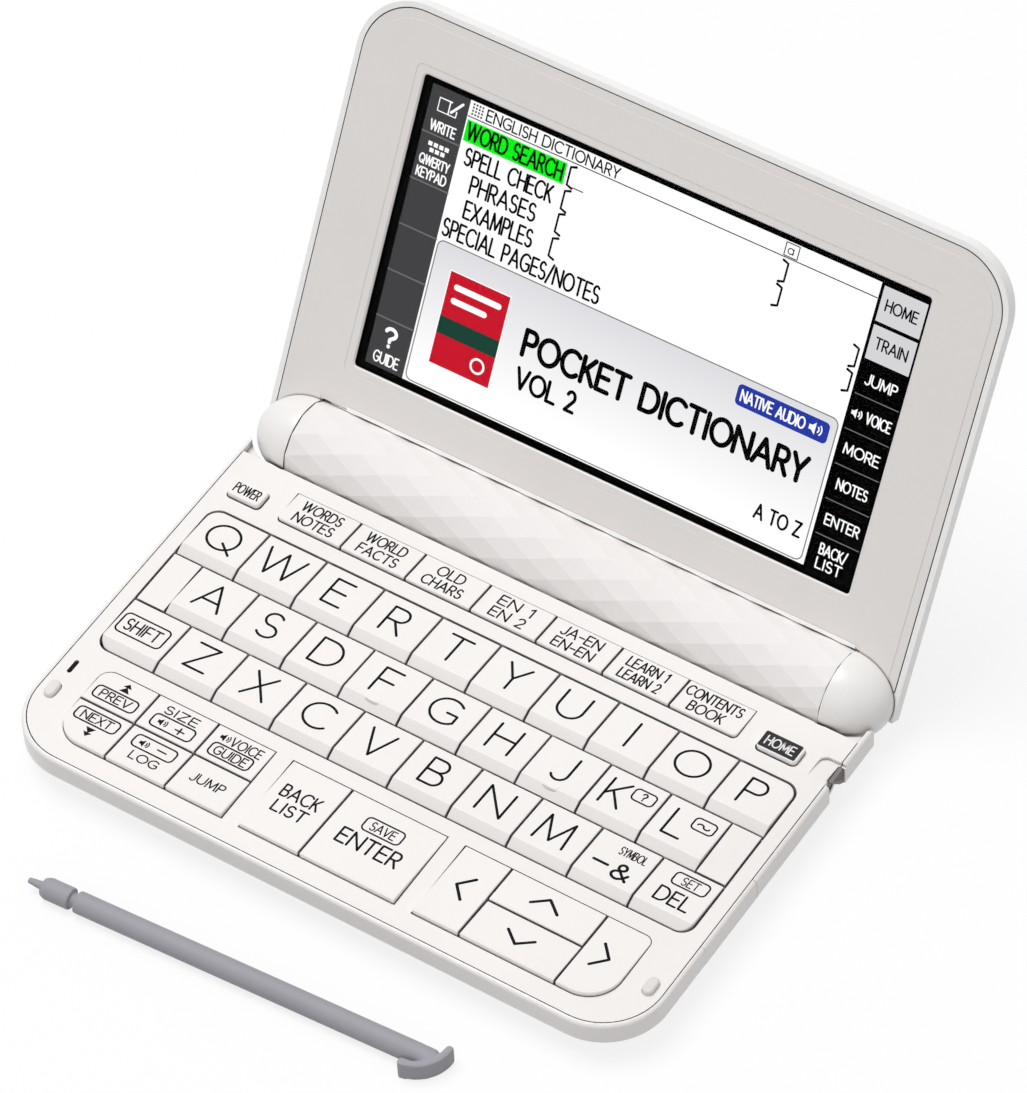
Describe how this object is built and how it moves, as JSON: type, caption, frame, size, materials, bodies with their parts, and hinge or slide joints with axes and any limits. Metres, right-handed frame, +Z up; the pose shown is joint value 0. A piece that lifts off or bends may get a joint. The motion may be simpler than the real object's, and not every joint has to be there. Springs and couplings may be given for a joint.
{
  "type": "electronic dictionary",
  "caption": "Clamshell electronic dictionary with a letter keyboard, cursor and function keys, a faceted hinge barrel holding the cells, a touch screen lid and a hooked stylus.",
  "frame": {"origin": "centre of the bounding box in plan, at the table surface under the feet", "axes": "+X to the user's right, +Y away from the user towards the hinge, +Z up from the table"},
  "size_m": [0.1496, 0.1709, 0.0939],
  "materials": {
    "white_case": "glossy moulded warm white",
    "white_cover": "glossy warm white keyboard deck",
    "faceted_white": "pearl white with faceted relief",
    "dome_white": "glossy warm white",
    "lid_white": "glossy warm white",
    "bezel_grey": "satin light warm grey",
    "panel_glass": "clear touch glass",
    "screen": "display module with its metal back",
    "key_white": "satin white with printed legends",
    "home_dark": "dark printed face with a pale rim",
    "stylus_grey": "satin mid grey",
    "rubber_grey": "soft grey",
    "rubber_pale": "soft pale grey",
    "keypad_rubber": "translucent grey silicone",
    "board_green": "green solder mask",
    "cell_wrap": "printed wrap over a metal can",
    "contact_metal": "nickel-plated",
    "shaft_metal": "plain steel",
    "screw_metal": "blackened steel",
    "speaker_black": "black cone and frame",
    "silo_grey": "plain moulded tube"
  },
  "bodies": {
    "base": {"lower_case": "white_case", "keyboard_cover": "white_cover", "hinge_barrel": "faceted_white", "battery_cells": "cell_wrap", "battery_contacts": "contact_metal", "circuit_board": "board_green", "key_rubber_sheet": "keypad_rubber", "speaker": "speaker_black", "rubber_feet": "rubber_grey", "case_screws": "screw_metal", "lid_bumpers": "rubber_pale", "stylus_silo": "silo_grey"},
    "lid": {"lid_cover": "lid_white", "display_bezel": "bezel_grey", "touch_panel": "panel_glass", "lcd_module": "screen", "hinge_end_caps": "dome_white", "hinge_shafts": "shaft_metal"},
    "battery_door": {"battery_cover": "white_case"},
    "card_door": {"card_slot_cover": "white_case"},
    "stylus": {"stylus": "stylus_grey"},
    "key_q": {"key_q": "key_white"},
    "key_w": {"key_w": "key_white"},
    "key_e": {"key_e": "key_white"},
    "key_r": {"key_r": "key_white"},
    "key_t": {"key_t": "key_white"},
    "key_y": {"key_y": "key_white"},
    "key_u": {"key_u": "key_white"},
    "key_i": {"key_i": "key_white"},
    "key_o": {"key_o": "key_white"},
    "key_p": {"key_p": "key_white"},
    "key_a": {"key_a": "key_white"},
    "key_s": {"key_s": "key_white"},
    "key_d": {"key_d": "key_white"},
    "key_f": {"key_f": "key_white"},
    "key_g": {"key_g": "key_white"},
    "key_h": {"key_h": "key_white"},
    "key_j": {"key_j": "key_white"},
    "key_k": {"key_k": "key_white"},
    "key_l": {"key_l": "key_white"},
    "key_shift": {"key_shift": "key_white"},
    "key_z": {"key_z": "key_white"},
    "key_x": {"key_x": "key_white"},
    "key_c": {"key_c": "key_white"},
    "key_v": {"key_v": "key_white"},
    "key_b": {"key_b": "key_white"},
    "key_n": {"key_n": "key_white"},
    "key_m": {"key_m": "key_white"},
    "key_symbols": {"key_symbols": "key_white"},
    "key_delete": {"key_delete": "key_white"},
    "function_keys": {"function_keys": "key_white"},
    "key_back": {"key_back": "key_white"},
    "key_enter": {"key_enter": "key_white"},
    "key_left": {"key_left": "key_white"},
    "key_up": {"key_up": "key_white"},
    "key_down": {"key_down": "key_white"},
    "key_right": {"key_right": "key_white"},
    "key_power": {"key_power": "key_white"},
    "key_home": {"key_home": "home_dark"},
    "dictionary_keys": {"dictionary_keys": "key_white"}
  },
  "joints": [
    {"name": "lid_hinge", "type": "hinge", "parent": "base", "child": "lid", "pos_m": [0, 0.0335, 0.0095], "axis": [1, 0, 0], "range_deg": [-20, 119]},
    {"name": "battery_door_slide", "type": "slide", "parent": "base", "child": "battery_door", "axis": [0, 1, 0], "range_m": [0, 0.014]},
    {"name": "card_door_hinge", "type": "hinge", "parent": "base", "child": "card_door", "pos_m": [0.074, -0.02445, 0.00515], "axis": [0, 1, 0], "range_deg": [0, 90]},
    {"name": "stylus_lift", "type": "slide", "parent": "base", "child": "stylus", "axis": [0, 0, 1], "range_m": [0, 0.06]},
    {"name": "key_q_press", "type": "slide", "parent": "base", "child": "key_q", "axis": [0, 0, -1], "range_m": [0, 0.0008], "stiffness_N_per_m": 500, "springref_m": -0.0002},
    {"name": "key_w_press", "type": "slide", "parent": "base", "child": "key_w", "axis": [0, 0, -1], "range_m": [0, 0.0008], "stiffness_N_per_m": 500, "springref_m": -0.0002},
    {"name": "key_e_press", "type": "slide", "parent": "base", "child": "key_e", "axis": [0, 0, -1], "range_m": [0, 0.0008], "stiffness_N_per_m": 500, "springref_m": -0.0002},
    {"name": "key_r_press", "type": "slide", "parent": "base", "child": "key_r", "axis": [0, 0, -1], "range_m": [0, 0.0008], "stiffness_N_per_m": 500, "springref_m": -0.0002},
    {"name": "key_t_press", "type": "slide", "parent": "base", "child": "key_t", "axis": [0, 0, -1], "range_m": [0, 0.0008], "stiffness_N_per_m": 500, "springref_m": -0.0002},
    {"name": "key_y_press", "type": "slide", "parent": "base", "child": "key_y", "axis": [0, 0, -1], "range_m": [0, 0.0008], "stiffness_N_per_m": 500, "springref_m": -0.0002},
    {"name": "key_u_press", "type": "slide", "parent": "base", "child": "key_u", "axis": [0, 0, -1], "range_m": [0, 0.0008], "stiffness_N_per_m": 500, "springref_m": -0.0002},
    {"name": "key_i_press", "type": "slide", "parent": "base", "child": "key_i", "axis": [0, 0, -1], "range_m": [0, 0.0008], "stiffness_N_per_m": 500, "springref_m": -0.0002},
    {"name": "key_o_press", "type": "slide", "parent": "base", "child": "key_o", "axis": [0, 0, -1], "range_m": [0, 0.0008], "stiffness_N_per_m": 500, "springref_m": -0.0002},
    {"name": "key_p_press", "type": "slide", "parent": "base", "child": "key_p", "axis": [0, 0, -1], "range_m": [0, 0.0008], "stiffness_N_per_m": 500, "springref_m": -0.0002},
    {"name": "key_a_press", "type": "slide", "parent": "base", "child": "key_a", "axis": [0, 0, -1], "range_m": [0, 0.0008], "stiffness_N_per_m": 500, "springref_m": -0.0002},
    {"name": "key_s_press", "type": "slide", "parent": "base", "child": "key_s", "axis": [0, 0, -1], "range_m": [0, 0.0008], "stiffness_N_per_m": 500, "springref_m": -0.0002},
    {"name": "key_d_press", "type": "slide", "parent": "base", "child": "key_d", "axis": [0, 0, -1], "range_m": [0, 0.0008], "stiffness_N_per_m": 500, "springref_m": -0.0002},
    {"name": "key_f_press", "type": "slide", "parent": "base", "child": "key_f", "axis": [0, 0, -1], "range_m": [0, 0.0008], "stiffness_N_per_m": 500, "springref_m": -0.0002},
    {"name": "key_g_press", "type": "slide", "parent": "base", "child": "key_g", "axis": [0, 0, -1], "range_m": [0, 0.0008], "stiffness_N_per_m": 500, "springref_m": -0.0002},
    {"name": "key_h_press", "type": "slide", "parent": "base", "child": "key_h", "axis": [0, 0, -1], "range_m": [0, 0.0008], "stiffness_N_per_m": 500, "springref_m": -0.0002},
    {"name": "key_j_press", "type": "slide", "parent": "base", "child": "key_j", "axis": [0, 0, -1], "range_m": [0, 0.0008], "stiffness_N_per_m": 500, "springref_m": -0.0002},
    {"name": "key_k_press", "type": "slide", "parent": "base", "child": "key_k", "axis": [0, 0, -1], "range_m": [0, 0.0008], "stiffness_N_per_m": 500, "springref_m": -0.0002},
    {"name": "key_l_press", "type": "slide", "parent": "base", "child": "key_l", "axis": [0, 0, -1], "range_m": [0, 0.0008], "stiffness_N_per_m": 500, "springref_m": -0.0002},
    {"name": "key_shift_press", "type": "slide", "parent": "base", "child": "key_shift", "axis": [0, 0, -1], "range_m": [0, 0.0008], "stiffness_N_per_m": 500, "springref_m": -0.0002},
    {"name": "key_z_press", "type": "slide", "parent": "base", "child": "key_z", "axis": [0, 0, -1], "range_m": [0, 0.0008], "stiffness_N_per_m": 500, "springref_m": -0.0002},
    {"name": "key_x_press", "type": "slide", "parent": "base", "child": "key_x", "axis": [0, 0, -1], "range_m": [0, 0.0008], "stiffness_N_per_m": 500, "springref_m": -0.0002},
    {"name": "key_c_press", "type": "slide", "parent": "base", "child": "key_c", "axis": [0, 0, -1], "range_m": [0, 0.0008], "stiffness_N_per_m": 500, "springref_m": -0.0002},
    {"name": "key_v_press", "type": "slide", "parent": "base", "child": "key_v", "axis": [0, 0, -1], "range_m": [0, 0.0008], "stiffness_N_per_m": 500, "springref_m": -0.0002},
    {"name": "key_b_press", "type": "slide", "parent": "base", "child": "key_b", "axis": [0, 0, -1], "range_m": [0, 0.0008], "stiffness_N_per_m": 500, "springref_m": -0.0002},
    {"name": "key_n_press", "type": "slide", "parent": "base", "child": "key_n", "axis": [0, 0, -1], "range_m": [0, 0.0008], "stiffness_N_per_m": 500, "springref_m": -0.0002},
    {"name": "key_m_press", "type": "slide", "parent": "base", "child": "key_m", "axis": [0, 0, -1], "range_m": [0, 0.0008], "stiffness_N_per_m": 500, "springref_m": -0.0002},
    {"name": "key_symbols_press", "type": "slide", "parent": "base", "child": "key_symbols", "axis": [0, 0, -1], "range_m": [0, 0.0008], "stiffness_N_per_m": 500, "springref_m": -0.0002},
    {"name": "key_delete_press", "type": "slide", "parent": "base", "child": "key_delete", "axis": [0, 0, -1], "range_m": [0, 0.0008], "stiffness_N_per_m": 500, "springref_m": -0.0002},
    {"name": "function_keys_press", "type": "slide", "parent": "base", "child": "function_keys", "axis": [0, 0, -1], "range_m": [0, 0.0008], "stiffness_N_per_m": 900, "springref_m": -0.0002},
    {"name": "key_back_press", "type": "slide", "parent": "base", "child": "key_back", "axis": [0, 0, -1], "range_m": [0, 0.0008], "stiffness_N_per_m": 500, "springref_m": -0.0002},
    {"name": "key_enter_press", "type": "slide", "parent": "base", "child": "key_enter", "axis": [0, 0, -1], "range_m": [0, 0.0008], "stiffness_N_per_m": 900, "springref_m": -0.0002},
    {"name": "key_left_press", "type": "slide", "parent": "base", "child": "key_left", "axis": [0, 0, -1], "range_m": [0, 0.0008], "stiffness_N_per_m": 500, "springref_m": -0.0002},
    {"name": "key_up_press", "type": "slide", "parent": "base", "child": "key_up", "axis": [0, 0, -1], "range_m": [0, 0.0008], "stiffness_N_per_m": 500, "springref_m": -0.0002},
    {"name": "key_down_press", "type": "slide", "parent": "base", "child": "key_down", "axis": [0, 0, -1], "range_m": [0, 0.0008], "stiffness_N_per_m": 500, "springref_m": -0.0002},
    {"name": "key_right_press", "type": "slide", "parent": "base", "child": "key_right", "axis": [0, 0, -1], "range_m": [0, 0.0008], "stiffness_N_per_m": 500, "springref_m": -0.0002},
    {"name": "key_power_press", "type": "slide", "parent": "base", "child": "key_power", "axis": [0, 0, -1], "range_m": [0, 0.0008], "stiffness_N_per_m": 500, "springref_m": -0.0002},
    {"name": "key_home_press", "type": "slide", "parent": "base", "child": "key_home", "axis": [0, 0, -1], "range_m": [0, 0.0008], "stiffness_N_per_m": 500, "springref_m": -0.0002},
    {"name": "dictionary_keys_press", "type": "slide", "parent": "base", "child": "dictionary_keys", "axis": [0, 0, -1], "range_m": [0, 0.0008], "stiffness_N_per_m": 900, "springref_m": -0.0002}
  ]
}
